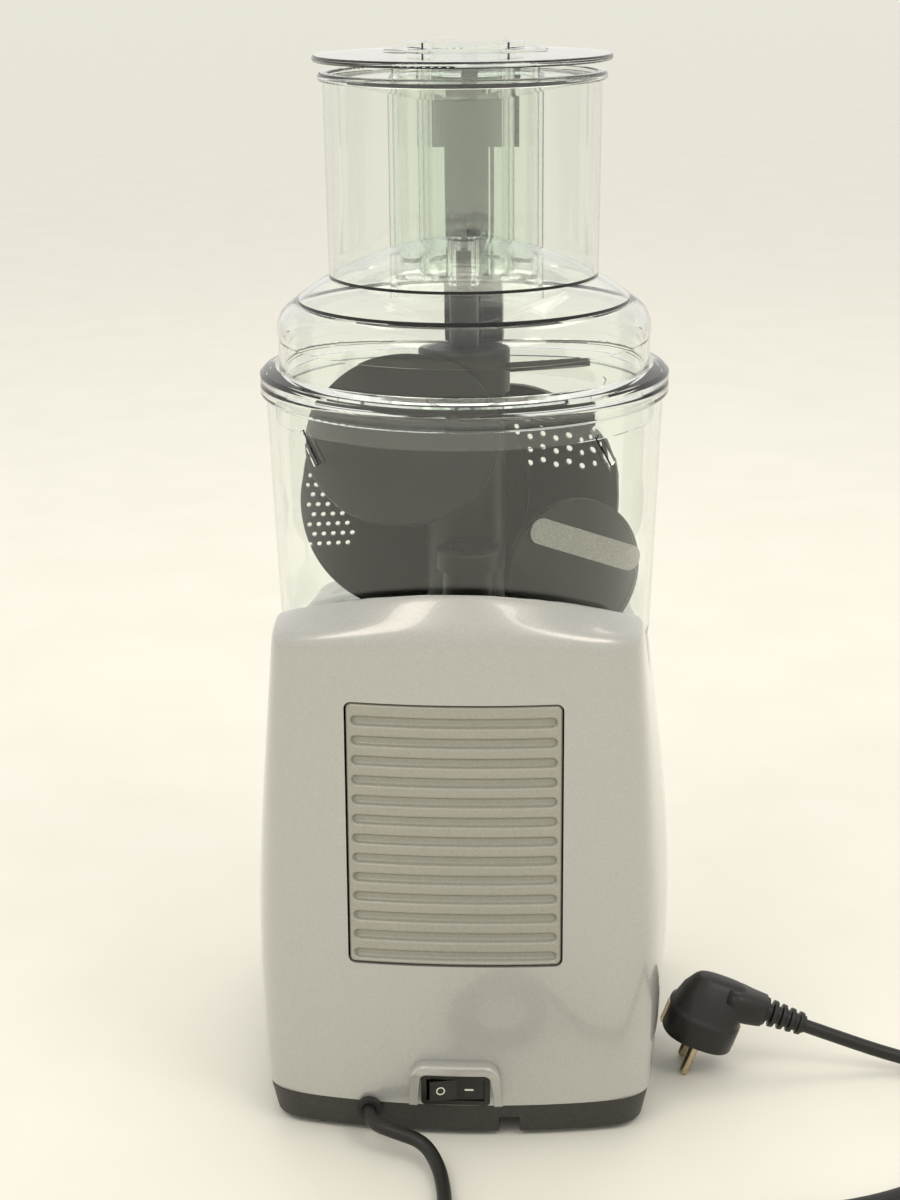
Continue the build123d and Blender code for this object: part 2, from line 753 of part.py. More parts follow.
def lid_arm():
    """Dark cover in front of the tower that guides the slider down to the handle."""
    front = slider_line + 3.4
    nose = -rod_y + 6.0
    low = lid_z + 1.0
    top = tower_top_z - tower_rim_height
    profile = [(-50, top), (-front, top), (-front, dome_crest_z + 4), (-nose, shoulder_z + 16), (-nose, low),
               (-85, low)]
    arm = side_prism(profile, arm_width / 2)
    wing_low = tower_top_z - arm_wing_drop
    wing = about(0, 0, wing_low, tower_radius + arm_wing_depth, top - wing_low)
    wing &= block(-arm_top_width / 2, arm_top_width / 2, -tower_radius - 14, -40, wing_low, top)
    arm += wing
    arm -= lid_envelope(0) + lid_flange() + tower_cone(0)
    half = slider_width / 2 + push_gap
    channel = side_prism(slider_profile(push_gap, rod_travel + seat_gap), half)
    channel += block(-half, half, -slider_line - 1.6, -slider_line + 1.6, wing_low, tower_top_z + 20)
    nose_half = arm_width / 2 - arm_wall
    channel += block(-nose_half, nose_half, -nose + arm_front_wall, -60, lid_z - 7, lid_z + arm_hollow)
    return arm - channel


def large_pusher():
    flange = about(0, 0, flange_low_z, push_flange_radius, push_flange_thickness)
    flange = fillet(flange.edges().filter_by(GeomType.CIRCLE), 1.2)
    sleeve = chute(-push_gap, push_low_z, flange_low_z + 1)
    sleeve -= chute(-push_gap - push_wall, push_low_z + push_wall, flange_low_z)
    guide = rounded_prism(inner_width + 2 * (push_gap + push_wall), inner_depth + 2 * (push_gap + push_wall),
                          inner_corner + push_gap + push_wall, 0, chute_y, push_low_z, flange_low_z + 1)
    collar = rounded_prism(collar_width, collar_depth + 8, 16, 0, chute_y, flange_low_z, flange_top_z + 0.8)
    body = flange + sleeve + guide + collar
    body -= rounded_prism(inner_width + 2 * push_gap, inner_depth + 2 * push_gap, inner_corner + push_gap,
                          0, chute_y, push_low_z - 5, flange_top_z + 10)
    for side in (-1, 1):
        x = side * fin_x
        fin = Polyline((x, 0, flange_low_z + 0.5), (x - side * 12, 0, flange_low_z + 0.5),
                       (x, 0, tower_top_z + seat_gap), close=True)
        body += extrude(Face(Wire(fin.edges())), 1.0, dir=(0, 1, 0), both=True)
    return body


def small_pusher():
    body = rounded_prism(inner_width, inner_depth, inner_corner, 0, chute_y, push_low_z, flange_top_z + 1.3)
    body -= rounded_prism(inner_width - 4, inner_depth - 4, inner_corner - 2, 0, chute_y,
                          push_low_z + 2, flange_top_z + 10)
    cap = rounded_prism(inner_width + 14, inner_depth + 6, inner_corner + 2, 0, chute_y, flange_top_z + 1.1,
                        flange_top_z + 1.1 + cap_height)
    cap -= rounded_prism(inner_width - 4, inner_depth - 4, inner_corner - 2, 0, chute_y,
                         flange_top_z - 5, flange_top_z + 10)
    return body + cap


def stator_core():
    half = stator_size / 2
    core = block(-half, half, -half, half, stator_low_z, stator_high_z)
    core = fillet(core.edges().filter_by(Axis.Z), 12)
    core -= about(0, 0, stator_low_z - 5, rotor_radius + air_gap, stator_height + 10)
    return core - screw_holes()


def screw_holes():
    holes = None
    for x in (-motor_screw_offset, motor_screw_offset):
        for y in (-motor_screw_offset, motor_screw_offset):
            hole = about(x, y, 10, motor_screw_radius, 140)
            holes = hole if holes is None else holes + hole
    return holes


def field_windings():
    rings = []
    for z in (stator_low_z - 11, stator_high_z):
        ring = about(0, 0, z, 40, 11) - about(0, 0, z - 1, rotor_radius + 3, 20)
        rings.append(fillet(ring.edges().filter_by(GeomType.CIRCLE), 3.0))
    return Compound(rings)


def bracket(plate_z, rim_low, rim_high, hub_low, hub_high):
    half = stator_size / 2
    plate = block(-half, half, -half, half, plate_z, plate_z + bracket_plate)
    rim = block(-half, half, -half, half, rim_low, rim_high)
    rim -= block(-half + 3, half - 3, -half + 3, half - 3, rim_low - 1, rim_high + 1)
    whole = plate + rim + about(0, 0, hub_low, bearing_radius + 4, hub_high - hub_low)
    whole = fillet(whole.edges().filter_by(Axis.Z).filter_by(lambda e: e.center().length > 45), 6)
    for x in (-motor_screw_offset, motor_screw_offset):
        for y in (-motor_screw_offset, motor_screw_offset):
            whole += about(x, y, rim_low, 4.5, rim_high - rim_low)
    return whole - about(0, 0, hub_low - 5, bearing_radius, 60) - screw_holes()


def lower_bracket():
    return bracket(bracket_low_z, bracket_low_z, stator_low_z, bracket_low_z - 6, bracket_low_z + 3)


def upper_bracket():
    return bracket(bracket_high_z, stator_high_z, bracket_high_z + 1, bracket_high_z, bracket_high_z + 10)


def bearing(z_low):
    ring = about(0, 0, z_low, bearing_radius, bearing_width)
    ring -= about(0, 0, z_low - 1, shaft_radius + 0.05, bearing_width + 2)
    groove = about(0, 0, z_low + bearing_width - 1, bearing_radius - 2.5, 2)
    groove -= about(0, 0, z_low, shaft_radius + 2.5, 20)
    return ring - groove


def motor_shaft():
    shaft = about(0, 0, bracket_low_z - 8, shaft_radius, spindle_low_z + 40 - bracket_low_z + 8)
    return chamfer(shaft.edges().filter_by(GeomType.CIRCLE), 0.8)


def rotor_core():
    core = about(0, 0, stator_low_z, rotor_radius, stator_height)
    core += about(0, 0, stator_low_z - 5, rotor_radius - 3, stator_height + 10)
    return core - about(0, 0, stator_low_z - 10, shaft_radius, stator_height + 20)


def drive_spindle():
    spindle = about(0, 0, spindle_low_z, spindle_radius, spindle_high_z - spindle_low_z)
    spindle = chamfer(spindle.edges().filter_by(GeomType.CIRCLE).sort_by(Axis.Z)[-1], 2.0)
    spindle -= motor_shaft()
    for turn in range(6):
        key = Rot(0, 0, 60 * turn) * Pos(spindle_radius, 0, spindle_high_z - 20) * Box(1.6, 2.4, 30)
        spindle -= key
    return spindle


def cooling_fan():
    fan = about(0, 0, fan_low_z, 12, fan_height) + about(0, 0, fan_low_z, fan_radius, 1.6)
    for turn in range(fan_blades):
        blade = Pos(27, 0, fan_low_z + fan_height / 2) * Rot(0, 0, 18) * Box(30, 1.6, fan_height)
        fan += Rot(0, 0, turn * 360 / fan_blades) * blade
    return fan - about(0, 0, fan_low_z - 5, shaft_radius, fan_height + 10)


def motor_screws():
    screws = []
    head_z = bracket_high_z + bracket_plate
    for x in (-motor_screw_offset, motor_screw_offset):
        for y in (-motor_screw_offset, motor_screw_offset):
            screws.append(about(x, y, 22, motor_screw_radius, head_z - 22) + about(x, y, head_z, 4, 3))
    return Compound(screws)


def shaft_seal():
    ring = about(0, 0, platform_z - casing_wall, bearing_radius + 2, casing_wall)
    ring += about(0, 0, platform_z - casing_wall - 2, bearing_radius + 5, 2)
    return ring - about(0, 0, platform_z - 10, spindle_radius + 0.3, 20)


def capacitor():
    can = about(74, 20, pan_z + pan_wall, 16, 62)
    can = fillet(can.edges().filter_by(GeomType.CIRCLE), 2)
    return can


def terminal_block():
    base = block(-30, 6, 78, 92, pan_z + pan_wall, pan_z + pan_wall + 8)
    for x in (-24, -12, 0):
        base += about(x, 85, pan_z + pan_wall + 7, 4, 5)
    return base


def tool_sleeve():
    """Lower part of the tool hub, standing over the bowl's tube."""
    low = floor_z + stem_foot
    sleeve = about(0, 0, low, stem_radius, stem_inner_z - low)
    return sleeve - about(0, 0, low - 1, tube_radius + stem_gap, stem_inner_z - low + 2)


def tool_stem():
    """Upper part of the tool hub, with its pin up in the lid's boss."""
    hub_top = hub_low_z + hub_height
    neck_top = dome_crest_z - boss_length - neck_below_boss
    pin_top = dome_crest_z - stem_pin_drop
    hub = about(0, 0, hub_low_z, hub_radius, hub_height)
    hub = fillet(hub.edges().filter_by(GeomType.CIRCLE).sort_by(Axis.Z)[-1], 2)
    stem = about(0, 0, stem_inner_z, stem_radius, hub_low_z - stem_inner_z + 1)
    neck = about(0, 0, hub_top - 1, stem_neck_radius, neck_top - hub_top + 1)
    pin = about(0, 0, neck_top - 1, boss_bore - stem_pin_gap, pin_top - neck_top + 1)
    return hub + stem + neck + pin


def tool_wings():
    """Two stirring wings on the hub's right."""
    upper = Pos(-39, -1, hub_low_z + 12) * Rot(14, 4, 0) * extrude(SlotOverall(46, 20), 1.6, both=True)
    lower = Pos(-40, 0, hub_low_z - 11) * Rot(70, -4, 0)
    lower = lower * extrude(RectangleRounded(50, 17, 4), 1.4, both=True)
    return (upper + lower) - tool_stem()


def standing_disc(radius, thickness, place):
    rim = Cylinder(radius, thickness + disc_rim) - Cylinder(radius - disc_rim, thickness + 2 * disc_rim)
    return place * (Cylinder(radius, thickness) + rim)


def disc_place(x, y, z, turn, lean):
    """Frame whose Z axis points to the rear, turned about the vertical and leaning."""
    return Pos(x, y, z) * Rot(0, 0, turn) * Rot(-90 + lean, 0, 0)


def on_floor(radius):
    """Height of the middle of a disc that stands on the bowl's floor."""
    return floor_z + seat_gap + radius


def cover_disc():
    place = disc_place(26, 50, rim_top_z - 20.3, 0, 40)
    dish = Cylinder(cover_radius, 3)
    dish = fillet(dish.edges().filter_by(GeomType.CIRCLE), 1.2)
    return place * dish


def sieve_disc():
    place = disc_place(27, -31, on_floor(sieve_radius), 12, 0)
    disc = standing_disc(sieve_radius, 2.4, place)
    holes = []
    for row in range(8):
        for column in range(5):
            spot = Pos(34 + 5 * column + 2.5 * (row % 2), -14 + 5.2 * row, 0)
            holes.append(place * spot * Cylinder(1.3, 12))
    return disc - holes


def grating_disc():
    place = disc_place(-22, -53, on_floor(grating_radius), -14, 0)
    disc = standing_disc(grating_radius, 2.4, place)
    holes = []
    for row in range(4):
        for column in range(8):
            spot = Pos(-45 + 7 * column, -40 + 7 * row + 2 * (column % 2), 0)
            holes.append(place * spot * Cylinder(1.6, 12))
    return disc - holes


def slicing_place():
    return disc_place(-54, 22, on_floor(slicing_radius), 30, 0)


def slicing_disc():
    return standing_disc(slicing_radius, slicing_thickness, slicing_place())


def slicing_blade():
    """Blade across the slicing disc, on its rim's face."""
    lift = (slicing_thickness + disc_rim) / 2 + blade_thickness / 2
    blade = extrude(RectangleRounded(blade_length, blade_height, 6), blade_thickness / 2, both=True)
    return slicing_place() * Pos(0, 0, lift) * Rot(0, 0, -22) * Pos(0, -blade_offset, 0) * blade


def blade_hub():
    low = floor_z + seat_gap
    hub = about(-4, 44, low, 13, 46) + about(-4, 44, low + 45.7, 16, 10)
    hub = fillet(hub.edges().filter_by(GeomType.CIRCLE).sort_by(Axis.Z)[-1], 2)
    return hub - about(-4, 44, low + 30, 9, 60)


def route_radii(points):
    """Arc at each corner of a lead's route: 0.45 of the shorter run over the half turn's tangent."""
    radii = []
    for before, corner, after in zip(points, points[1:], points[2:]):
        run_in = Vector(*corner) - Vector(*before)
        run_out = Vector(*after) - Vector(*corner)
        half_turn = math.radians(run_in.get_angle(run_out)) / 2
        radii.append(0.45 * min(run_in.length, run_out.length) / math.tan(half_turn))
    return radii


def lead_tube(name, points):
    radii = route_radii(points)
    print(name, "arc radii", [round(radius, 1) for radius in radii])
    path = FilletPolyline(*points, radius=radii)
    start = Plane(origin=path @ 0, z_dir=path % 0)
    tube = sweep(start * Circle(cord_radius), path=path)
    section_volume = math.pi * cord_radius ** 2 * path.length
    print(name, "length", round(path.length, 1), "volume ratio", round(tube.volume / section_volume, 4))
    return tube


def cord_coil():
    section = RectangleRounded(coil_band, coil_height, 6)
    band = Plane.XZ * Pos(coil_radius, coil_height / 2, 0) * section
    return Pos(coil_centre[0], coil_centre[1], 0) * revolve(band, Axis.Z)


def plug_frame():
    """Frame at the middle of the plug's pin face, pins pointing down its -Z, lead leaving along -X."""
    lift = pin_length * math.cos(math.radians(plug_tilt)) + 0.4
    return Pos(plug_axis_x, plug_axis_y, lift) * Rot(0, -plug_tilt, 0)


def plug_body():
    body = Pos(0, 0, 8) * Cylinder(plug_radius, 16)
    body += Pos(-2, 0, 24) * Cone(plug_radius - 1, plug_radius - 5, 18)
    body = fillet(body.edges().filter_by(GeomType.CIRCLE).sort_by(Axis.Z)[-1], 4)
    body += Pos(-neck_reach / 2, 0, neck_height) * Rot(0, 90, 0) * Cylinder(neck_radius, neck_reach)
    return plug_frame() * body


def plug_relief():
    """Tapered sleeve between the plug's neck and its lead."""
    middle = Pos(-neck_reach - relief_length / 2, 0, neck_height) * Rot(0, 90, 0)
    sleeve = middle * Cone(cord_radius + 1.6, cord_radius + 4.0, relief_length)
    return plug_frame() * sleeve


def plug_pins():
    pins = []
    for side in (-1, 1):
        pin = Pos(0, side * pin_spacing / 2, -pin_length / 2) * Cylinder(pin_radius, pin_length)
        pin = fillet(pin.edges().filter_by(GeomType.CIRCLE).sort_by(Axis.Z)[0], 1.5)
        pins.append(plug_frame() * pin)
    return Compound(pins)


def earth_clips():
    clips = []
    for side in (-1, 1):
        x = side * plug_radius
        clips.append(plug_frame() * Pos(x, 0, 7) * Box(1.6, 5, 12))
    return Compound(clips)


def main():
    os.makedirs("parts", exist_ok=True)
    gland_ring, gland_bore = cord_gland()
    body_clip = plug_body()
    machine = {
        "feet": feet(),
        "base_pan": base_pan(),
        "casing": casing(),
        "vent_panel": vent_panel(),
        "front_fascia": front_fascia(),
        "indicator_lens": indicator_lens(),
        "control_board": control_board(),
        "switch_bezel": switch_bezel(),
        "rocker": rocker(),
        "rocker_pin": rocker_pin(),
        "cord_gland": gland_ring - gland_bore,
        "stator_core": stator_core(),
        "field_windings": field_windings(),
        "rotor_core": rotor_core(),
        "motor_shaft": motor_shaft(),
        "drive_spindle": drive_spindle(),
        "lower_bearing": bearing(bracket_low_z - 5),
        "upper_bearing": bearing(bracket_high_z + 2),
        "lower_bracket": lower_bracket(),
        "upper_bracket": upper_bracket(),
        "cooling_fan": cooling_fan(),
        "motor_screws": motor_screws(),
        "shaft_seal": shaft_seal(),
        "capacitor": capacitor(),
        "terminal_block": terminal_block(),
        "interlock_switch": interlock_switch(),
        "interlock_rod": interlock_rod(),
        "interlock_spring": interlock_spring(),
        "bowl": bowl(),
        "bowl_tube": bowl_tube(),
        "bowl_handle": bowl_handle(),
        "handle_cover": handle_cover(),
        "lid": lid(),
        "feed_tower": feed_tower(),
        "feed_funnel": feed_funnel(),
        "feed_chute": feed_chute(),
        "lid_arm": lid_arm(),
        "lid_slider": lid_slider(),
        "large_pusher": large_pusher(),
        "small_pusher": small_pusher(),
        "tool_sleeve": tool_sleeve(),
        "tool_stem": tool_stem(),
        "tool_wings": tool_wings(),
        "cover_disc": cover_disc(),
        "sieve_disc": sieve_disc(),
        "grating_disc": grating_disc(),
        "slicing_disc": slicing_disc(),
        "slicing_blade": slicing_blade(),
        "blade_hub": blade_hub(),
    }
    for x, name in button_places():
        machine[name] = button(x)
    lead = {
        "cord_lead": lead_tube("cord_lead", lead_points),
        "cord_coil": cord_coil(),
        "cord_tail": lead_tube("cord_tail", tail_points),
        "plug_body": body_clip,
        "plug_relief": plug_relief(),
        "plug_pins": plug_pins(),
        "earth_clips": earth_clips() - body_clip,
    }
    for name, shape in machine.items():
        export_step(Pos(0, axis_y, 0) * shape, f"parts/{name}.step")
    for name, shape in lead.items():
        export_step(shape, f"parts/{name}.step")


main()
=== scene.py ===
import math
import bmesh
import bpy
import numpy as np
from mathutils import Matrix, Vector


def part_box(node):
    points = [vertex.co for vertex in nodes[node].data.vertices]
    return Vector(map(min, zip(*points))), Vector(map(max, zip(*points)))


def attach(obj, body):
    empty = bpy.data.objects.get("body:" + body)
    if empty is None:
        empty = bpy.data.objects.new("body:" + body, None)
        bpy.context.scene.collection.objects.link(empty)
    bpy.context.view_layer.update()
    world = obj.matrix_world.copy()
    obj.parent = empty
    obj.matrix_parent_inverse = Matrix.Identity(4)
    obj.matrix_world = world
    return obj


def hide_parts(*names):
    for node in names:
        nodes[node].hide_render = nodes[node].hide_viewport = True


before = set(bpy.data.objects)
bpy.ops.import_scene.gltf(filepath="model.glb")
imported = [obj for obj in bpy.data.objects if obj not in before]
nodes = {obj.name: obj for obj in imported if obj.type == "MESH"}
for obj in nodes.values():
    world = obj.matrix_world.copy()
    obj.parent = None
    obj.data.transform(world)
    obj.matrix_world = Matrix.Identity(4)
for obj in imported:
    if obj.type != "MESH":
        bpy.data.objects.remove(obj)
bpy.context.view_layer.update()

mm = 0.001
scene = bpy.context.scene
print("frame loaded:", len(nodes), "nodes")


def middle(node):
    low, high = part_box(node)
    return (low + high) / 2


axisY = middle("bowl").y                     # the bowl's axis, at X = 0


cameraSet = {"distance": 1.071, "height": 0.568, "azimuth": 183.2, "down": 17.0,
             "lens": 66.0, "turn": 0.43, "roll": -0.5}


def makeCamera(s):
    data = bpy.data.cameras.new("camera")
    data.lens = s["lens"]
    cam = bpy.data.objects.new("camera", data)
    scene.collection.objects.link(cam)
    a = math.radians(s["azimuth"])
    place = Vector((math.sin(a) * s["distance"], axisY - math.cos(a) * s["distance"], s["height"]))
    heading = Matrix.Rotation(math.radians(s["azimuth"] + s["turn"]), 4, "Z")
    tilt = Matrix.Rotation(math.radians(90 - s["down"]), 4, "X")
    roll = Matrix.Rotation(math.radians(s["roll"]), 4, "Z")
    cam.matrix_world = Matrix.Translation(place) @ heading @ tilt @ roll
    data.clip_start = 0.01
    scene.camera = cam


makeCamera(cameraSet)


def linear(hexColour):
    # sRGB hex to linear RGBA.
    values = [int(hexColour[i:i + 2], 16) / 255 for i in (1, 3, 5)]
    return [v / 12.92 if v <= 0.04045 else ((v + 0.055) / 1.055) ** 2.4 for v in values] + [1.0]


def addNode(tree, kind, settings=None, links=None):
    # One node with its attributes or socket values, linked from (node, socket name) pairs.
    node = tree.nodes.new(kind)
    for key, value in (settings or {}).items():
        if hasattr(node, key):
            setattr(node, key, value)
        else:
            node.inputs[key].default_value = value
    for key, (source, output) in (links or {}).items():
        tree.links.new(source.outputs[output], node.inputs[key])
    return node


def startMaterial(name, shader):
    # A new material with one Principled shader; shader gives its socket values.
    mat = bpy.data.materials.new(name)
    mat.use_nodes = True
    tree = mat.node_tree
    tree.nodes.clear()
    out = tree.nodes.new("ShaderNodeOutputMaterial")
    bsdf = tree.nodes.new("ShaderNodeBsdfPrincipled")
    for key, value in shader.items():
        bsdf.inputs[key].default_value = value
    tree.links.new(bsdf.outputs["BSDF"], out.inputs["Surface"])
    coords = tree.nodes.new("ShaderNodeTexCoord")
    return mat, tree, bsdf, coords


def mottledColour(tree, bsdf, coords, dark, light, grainMm):
    # Base colour wandering between two shades with the grain's size.
    noise = addNode(tree, "ShaderNodeTexNoise", {"Scale": 1 / (grainMm * mm), "Detail": 4.0},
                    {"Vector": (coords, "Object")})
    ramp = addNode(tree, "ShaderNodeValToRGB", links={"Fac": (noise, "Fac")})
    ramp.color_ramp.elements[0].position = 0.35
    ramp.color_ramp.elements[0].color = linear(dark)
    ramp.color_ramp.elements[1].position = 0.65
    ramp.color_ramp.elements[1].color = linear(light)
    tree.links.new(ramp.outputs["Color"], bsdf.inputs["Base Color"])


def fineBump(tree, bsdf, coords, grainMm, heightMm):
    # Moulded grain: noise of that size raised by that height.
    noise = addNode(tree, "ShaderNodeTexNoise", {"Scale": 1 / (grainMm * mm), "Detail": 3.0},
                    {"Vector": (coords, "Object")})
    bump = addNode(tree, "ShaderNodeBump", {"Strength": 1.0, "Distance": heightMm * mm},
                   {"Height": (noise, "Fac")})
    tree.links.new(bump.outputs["Normal"], bsdf.inputs["Normal"])


def roughnessSpread(tree, bsdf, coords, low, high, grainMm):
    # Roughness wandering with wear and handling.
    noise = addNode(tree, "ShaderNodeTexNoise", {"Scale": 1 / (grainMm * mm), "Detail": 5.0},
                    {"Vector": (coords, "Object")})
    limits = {"From Min": 0.3, "From Max": 0.7, "To Min": low, "To Max": high}
    spread = addNode(tree, "ShaderNodeMapRange", limits, {"Value": (noise, "Fac")})
    tree.links.new(spread.outputs["Result"], bsdf.inputs["Roughness"])


def pearlAbs():
    # moulded ABS with silver mica under a clear lacquer: a soft sheen below and a sharp reflection on top
    mat, tree, bsdf, coords = startMaterial("pearlLacqueredAbs", {
        "Metallic": 0.35, "IOR": 1.5, "Coat Weight": 0.9, "Coat Roughness": 0.05, "Coat IOR": 1.5})
    mottledColour(tree, bsdf, coords, "#B1B0AA", "#B9B8B2", 0.9)
    roughnessSpread(tree, bsdf, coords, 0.3, 0.36, 25)
    return mat


def satinSilverAbs():
    # the same ABS without lacquer, spark-eroded mould: an even satin grey
    mat, tree, bsdf, coords = startMaterial("satinSilverAbs", {"Metallic": 0.4, "IOR": 1.5})
    mottledColour(tree, bsdf, coords, "#A19F94", "#A9A79C", 1.2)
    roughnessSpread(tree, bsdf, coords, 0.4, 0.48, 30)
    fineBump(tree, bsdf, coords, 0.8, 0.02)
    return mat


def blackAbs():
    # moulded black ABS, fine spark texture
    mat, tree, bsdf, coords = startMaterial("sparkTexturedBlackAbs", {"IOR": 1.53})
    mottledColour(tree, bsdf, coords, "#2A2924", "#33322C", 2.0)
    roughnessSpread(tree, bsdf, coords, 0.42, 0.55, 20)
    fineBump(tree, bsdf, coords, 0.7, 0.03)
    return mat


def switchNylon():
    # smooth black nylon of the switch
    mat, tree, bsdf, coords = startMaterial("smoothBlackNylon", {"IOR": 1.53})
    mottledColour(tree, bsdf, coords, "#191813", "#201F19", 3.0)
    roughnessSpread(tree, bsdf, coords, 0.28, 0.38, 10)
    return mat


def clearSan():
    # injection-moulded SAN: clear, a trace green, its gloss just dulled by washing
    mat, tree, bsdf, coords = startMaterial("clearSan", {
        "Transmission Weight": 1.0, "IOR": 1.5, "Roughness": 0.015, "Base Color": linear("#FCFEFC")})
    return mat


def darkPp():
    # moulded dark grey polypropylene of the tools, dulled by food and washing
    mat, tree, bsdf, coords = startMaterial("washedDarkPolypropylene", {
        "IOR": 1.49, "Specular IOR Level": 0.35})
    mottledColour(tree, bsdf, coords, "#181815", "#20201C", 9.0)
    roughnessSpread(tree, bsdf, coords, 0.3, 0.45, 15)
    fineBump(tree, bsdf, coords, 0.9, 0.005)
    return mat


def groundSteel():
    # ground stainless steel, grinding lines along X
    mat, tree, bsdf, coords = startMaterial("groundStainlessSteel", {
        "Metallic": 1.0, "Base Color": linear("#9C9B96")})
    mapping = addNode(tree, "ShaderNodeMapping", {"Scale": (0.05, 1.0, 1.0)}, {"Vector": (coords, "Object")})
    noise = addNode(tree, "ShaderNodeTexNoise", {"Scale": 1 / (0.5 * mm), "Detail": 4.0},
                    {"Vector": (mapping, "Vector")})
    spread = addNode(tree, "ShaderNodeMapRange", {"To Min": 0.18, "To Max": 0.38}, {"Value": (noise, "Fac")})
    tree.links.new(spread.outputs["Result"], bsdf.inputs["Roughness"])
    return mat


def plainMetal(name, dark, light, low, high, grainMm):
    # a cast, plated or drawn metal: colour and roughness wander with its surface grain
    mat, tree, bsdf, coords = startMaterial(name, {"Metallic": 1.0})
    mottledColour(tree, bsdf, coords, dark, light, grainMm)
    roughnessSpread(tree, bsdf, coords, low, high, grainMm * 3)
    return mat


def plainPlastic(name, dark, light, low, high, grainMm, bumpMm=0.01):
    # a moulded or dipped polymer: two close shades, uneven gloss and a fine grain
    mat, tree, bsdf, coords = startMaterial(name, {"IOR": 1.5})
    mottledColour(tree, bsdf, coords, dark, light, grainMm)
    roughnessSpread(tree, bsdf, coords, low, high, grainMm * 4)
    fineBump(tree, bsdf, coords, grainMm, bumpMm)
    return mat


finishes = {
    "pearl": pearlAbs(), "satin": satinSilverAbs(), "black": blackAbs(), "nylon": switchNylon(),
    "clear": clearSan(), "dark": darkPp(), "steel": groundSteel(),
    "rubber": plainPlastic("mouldedRubber", "#1B1A18", "#242320", 0.6, 0.75, 1.5, 0.03),
    "pvc": plainPlastic("extrudedPvcSheath", "#0F0E0B", "#15140F", 0.36, 0.46, 3.0, 0.008),
    "brass": plainMetal("nickelPlatedBrass", "#BFAE8C", "#CFC0A2", 0.2, 0.3, 1.0),
    "aluminium": plainMetal("dieCastAluminium", "#9A9A98", "#AAAAA8", 0.4, 0.55, 2.0),
    "iron": plainMetal("varnishedLaminations", "#4A4A4E", "#5A5A5E", 0.4, 0.5, 1.0),
    "copper": plainMetal("enamelledCopperWire", "#9C5A2C", "#B86E3A", 0.25, 0.35, 0.8),
    "board": plainPlastic("glassFibreBoard", "#0F3A1C", "#154A26", 0.35, 0.45, 2.0),
    "button": plainPlastic("mouldedGreyAbs", "#5A5A55", "#63635D", 0.3, 0.4, 1.5),
    "lens": plainPlastic("frostedLens", "#C8D4CF", "#D4DED9", 0.15, 0.25, 2.0),
    "natural": plainPlastic("naturalNylon", "#CFCCBD", "#D8D5C8", 0.4, 0.5, 2.0),
}

nodeFinish = {
    "pearl": ["casing", "front_fascia"],
    "satin": ["vent_panel"],
    "black": ["base_pan", "interlock_switch"],
    "nylon": ["switch_bezel", "rocker"],
    "clear": ["bowl", "bowl_tube", "lid", "feed_tower", "feed_funnel", "feed_chute", "large_pusher",
              "small_pusher"],
    "dark": ["bowl_handle", "handle_cover", "lid_arm", "lid_slider", "interlock_rod", "tool_stem", "tool_wings",
             "tool_sleeve", "cover_disc", "sieve_disc", "grating_disc", "slicing_disc", "blade_hub"],
    "steel": ["slicing_blade", "motor_shaft", "drive_spindle", "lower_bearing", "upper_bearing", "rocker_pin",
              "motor_screws", "interlock_spring"],
    "rubber": ["feet", "cord_gland", "shaft_seal"],
    "pvc": ["cord_lead", "cord_coil", "cord_tail", "plug_body", "plug_relief"],
    "brass": ["plug_pins", "earth_clips"],
    "aluminium": ["lower_bracket", "upper_bracket", "capacitor"],
    "iron": ["stator_core", "rotor_core"],
    "copper": ["field_windings"],
    "board": ["control_board"],
    "button": ["pulse_button", "on_button", "stop_button"],
    "lens": ["indicator_lens"],
    "natural": ["cooling_fan", "terminal_block"],
}
for finish, names in nodeFinish.items():
    for name in names:
        nodes[name].data.materials.clear()
        nodes[name].data.materials.append(finishes[finish])
print("materials:", len(finishes))


def meshPiece(name, points, faces, finish, body, replaced=(), smooth=True):
    # Makes a mesh from arrays, merges doubles, and hangs it on its body.
    mesh = bpy.data.meshes.new(name)
    mesh.from_pydata(points, [], faces)
    mesh.update()
    piece = bpy.data.objects.new(name, mesh)
    scene.collection.objects.link(piece)
    tidyMesh(mesh)
    mesh.polygons.foreach_set("use_smooth", [smooth] * len(mesh.polygons))
    mesh.materials.append(finish)
    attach(piece, body)
    if replaced:
        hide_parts(*replaced)
    return piece


def tidyMesh(mesh):
    work = bmesh.new()
    work.from_mesh(mesh)
    bmesh.ops.remove_doubles(work, verts=work.verts, dist=1e-6)
    bmesh.ops.recalc_face_normals(work, faces=work.faces)
    work.to_mesh(mesh)
    work.free()
    mesh.update()


def gridFaces(rows, columns, wrapRows=False, wrapColumns=False):
    # Quads over a grid of rows x columns points, numbered row by row.
    r = np.arange(rows if wrapRows else rows - 1)[:, None]
    c = np.arange(columns if wrapColumns else columns - 1)[None, :]
    r2, c2 = (r + 1) % rows, (c + 1) % columns
    quads = np.stack([r * columns + c, r * columns + c2, r2 * columns + c2, r2 * columns + c], axis=-1)
    return quads.reshape(-1, 4)


